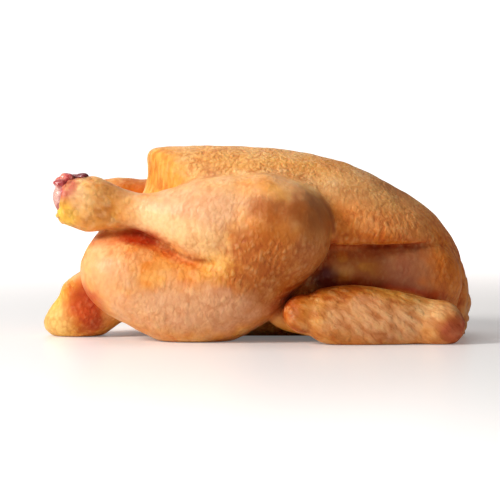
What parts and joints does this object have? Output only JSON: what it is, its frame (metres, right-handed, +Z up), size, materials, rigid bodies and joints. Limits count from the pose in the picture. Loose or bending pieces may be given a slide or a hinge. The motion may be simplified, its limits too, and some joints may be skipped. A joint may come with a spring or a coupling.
{
  "type": "whole raw chicken",
  "caption": "Plucked and gutted raw chicken lying on its back, legs folded over the body, wings at its sides, body cavity open at the tail end",
  "frame": {"origin": "on the floor plane under the middle of the bounding box, in millimetre precision", "axes": "+X runs from the tail to the neck end, +Z is up, +Y completes the right-handed frame; the bird lies on its back, breast up, and the pictured side faces -Y"},
  "size_m": [0.2634, 0.1688, 0.1167],
  "materials": {
    "skin": "moist, slightly glossy skin with goose flesh"
  },
  "bodies": {
    "root": {"chicken": "skin"}
  },
  "joints": []
}
